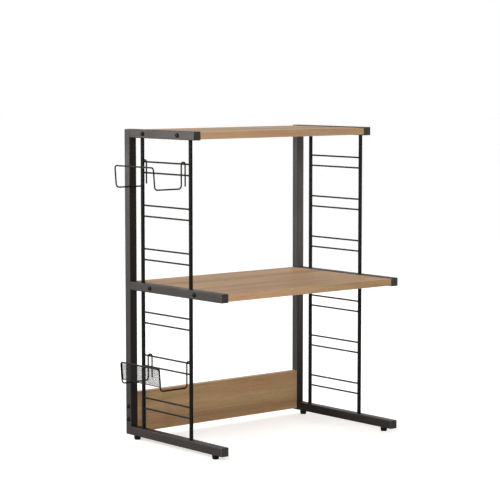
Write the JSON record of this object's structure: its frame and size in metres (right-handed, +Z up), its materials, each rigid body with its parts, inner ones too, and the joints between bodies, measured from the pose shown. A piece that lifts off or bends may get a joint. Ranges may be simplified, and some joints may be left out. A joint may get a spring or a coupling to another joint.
{
  "type": "microwave shelf",
  "caption": "Open rack of black square steel tube with wood boards over a free lower bay, ladder rungs at both sides and hanging wire holders.",
  "frame": {"origin": "on the floor, in the middle of the whole object's box, so that half of the holders' overhang lies on each side of the middle", "axes": "+Z up, +X to the right seen from the front, +Y to the back, where the uprights are"},
  "size_m": [0.619, 0.36, 0.73],
  "materials": {
    "frame_steel": "fine matt black powder coat",
    "rod_steel": "fine matt black powder coat",
    "holder_wire": "satin black coated wire",
    "mesh_steel": "fine black coated wire mesh",
    "board_wood": "oak grain, matt",
    "edge_wood": "oak grain edge band, matt",
    "cap_plastic": "moulded black plastic",
    "pad_plastic": "moulded black plastic",
    "bolt_steel": "black coated, satin",
    "zinc_steel": "bright zinc plated"
  },
  "bodies": {
    "rack": {"left_upright": "frame_steel", "left_foot_rail": "frame_steel", "left_middle_arm": "frame_steel", "left_top_arm": "frame_steel", "left_lower_rear_rod": "rod_steel", "left_lower_front_rod": "rod_steel", "left_lower_rungs": "rod_steel", "left_upper_rear_rod": "rod_steel", "left_upper_front_rod": "rod_steel", "left_upper_rungs": "rod_steel", "left_foot_rail_cap": "cap_plastic", "left_middle_arm_cap": "cap_plastic", "left_top_arm_cap": "cap_plastic", "left_upright_top_cap": "cap_plastic", "left_upright_bottom_cap": "cap_plastic", "right_upright": "frame_steel", "right_foot_rail": "frame_steel", "right_middle_arm": "frame_steel", "right_top_arm": "frame_steel", "right_lower_rear_rod": "rod_steel", "right_lower_front_rod": "rod_steel", "right_lower_rungs": "rod_steel", "right_upper_rear_rod": "rod_steel", "right_upper_front_rod": "rod_steel", "right_upper_rungs": "rod_steel", "right_foot_rail_cap": "cap_plastic", "right_middle_arm_cap": "cap_plastic", "right_top_arm_cap": "cap_plastic", "right_upright_top_cap": "cap_plastic", "right_upright_bottom_cap": "cap_plastic", "top_board": "board_wood", "top_board_edge_band": "edge_wood", "top_board_bolts": "bolt_steel", "top_board_inserts": "zinc_steel", "middle_board": "board_wood", "middle_board_edge_band": "edge_wood", "middle_board_bolts": "bolt_steel", "middle_board_inserts": "zinc_steel", "back_panel": "board_wood", "back_panel_edge_band": "edge_wood", "back_panel_bolts": "bolt_steel", "back_panel_inserts": "zinc_steel", "foot_nuts": "zinc_steel"},
    "left_front_stud": {"left_front_foot_stud": "zinc_steel"},
    "left_front_pad": {"left_front_foot_pad": "pad_plastic"},
    "left_rear_stud": {"left_rear_foot_stud": "zinc_steel"},
    "left_rear_pad": {"left_rear_foot_pad": "pad_plastic"},
    "right_front_stud": {"right_front_foot_stud": "zinc_steel"},
    "right_front_pad": {"right_front_foot_pad": "pad_plastic"},
    "right_rear_stud": {"right_rear_foot_stud": "zinc_steel"},
    "right_rear_pad": {"right_rear_foot_pad": "pad_plastic"},
    "upper_holder": {"upper_wire_holder": "holder_wire"},
    "lower_holder": {"lower_wire_holder": "holder_wire", "lower_holder_mesh": "mesh_steel"}
  },
  "joints": [
    {"name": "left_front_foot_screw", "type": "slide", "parent": "rack", "child": "left_front_stud", "axis": [0, 0, -1], "range_m": [0, 0.008]},
    {"name": "left_front_foot_turn", "type": "hinge", "parent": "left_front_stud", "child": "left_front_pad", "pos_m": [-0.22378, -0.146, 0], "axis": [0, 0, -1], "range_deg": [0, 2880]},
    {"name": "left_rear_foot_screw", "type": "slide", "parent": "rack", "child": "left_rear_stud", "axis": [0, 0, -1], "range_m": [0, 0.008]},
    {"name": "left_rear_foot_turn", "type": "hinge", "parent": "left_rear_stud", "child": "left_rear_pad", "pos_m": [-0.22378, 0.148, 0], "axis": [0, 0, -1], "range_deg": [0, 2880]},
    {"name": "right_front_foot_screw", "type": "slide", "parent": "rack", "child": "right_front_stud", "axis": [0, 0, -1], "range_m": [0, 0.008]},
    {"name": "right_front_foot_turn", "type": "hinge", "parent": "right_front_stud", "child": "right_front_pad", "pos_m": [0.29623, -0.146, 0], "axis": [0, 0, -1], "range_deg": [0, 2880]},
    {"name": "right_rear_foot_screw", "type": "slide", "parent": "rack", "child": "right_rear_stud", "axis": [0, 0, -1], "range_m": [0, 0.008]},
    {"name": "right_rear_foot_turn", "type": "hinge", "parent": "right_rear_stud", "child": "right_rear_pad", "pos_m": [0.29623, 0.148, 0], "axis": [0, 0, -1], "range_deg": [0, 2880]},
    {"name": "upper_holder_lift", "type": "slide", "parent": "rack", "child": "upper_holder", "axis": [0, 0, 1], "range_m": [0, 0.048]},
    {"name": "lower_holder_lift", "type": "slide", "parent": "rack", "child": "lower_holder", "axis": [0, 0, 1], "range_m": [0, 0.065]}
  ],
  "couplings": [
    {"joint": "left_front_foot_turn", "follows": "left_front_foot_screw", "rad_per_m": 6283.2},
    {"joint": "left_rear_foot_turn", "follows": "left_rear_foot_screw", "rad_per_m": 6283.2},
    {"joint": "right_front_foot_turn", "follows": "right_front_foot_screw", "rad_per_m": 6283.2},
    {"joint": "right_rear_foot_turn", "follows": "right_rear_foot_screw", "rad_per_m": 6283.2}
  ]
}
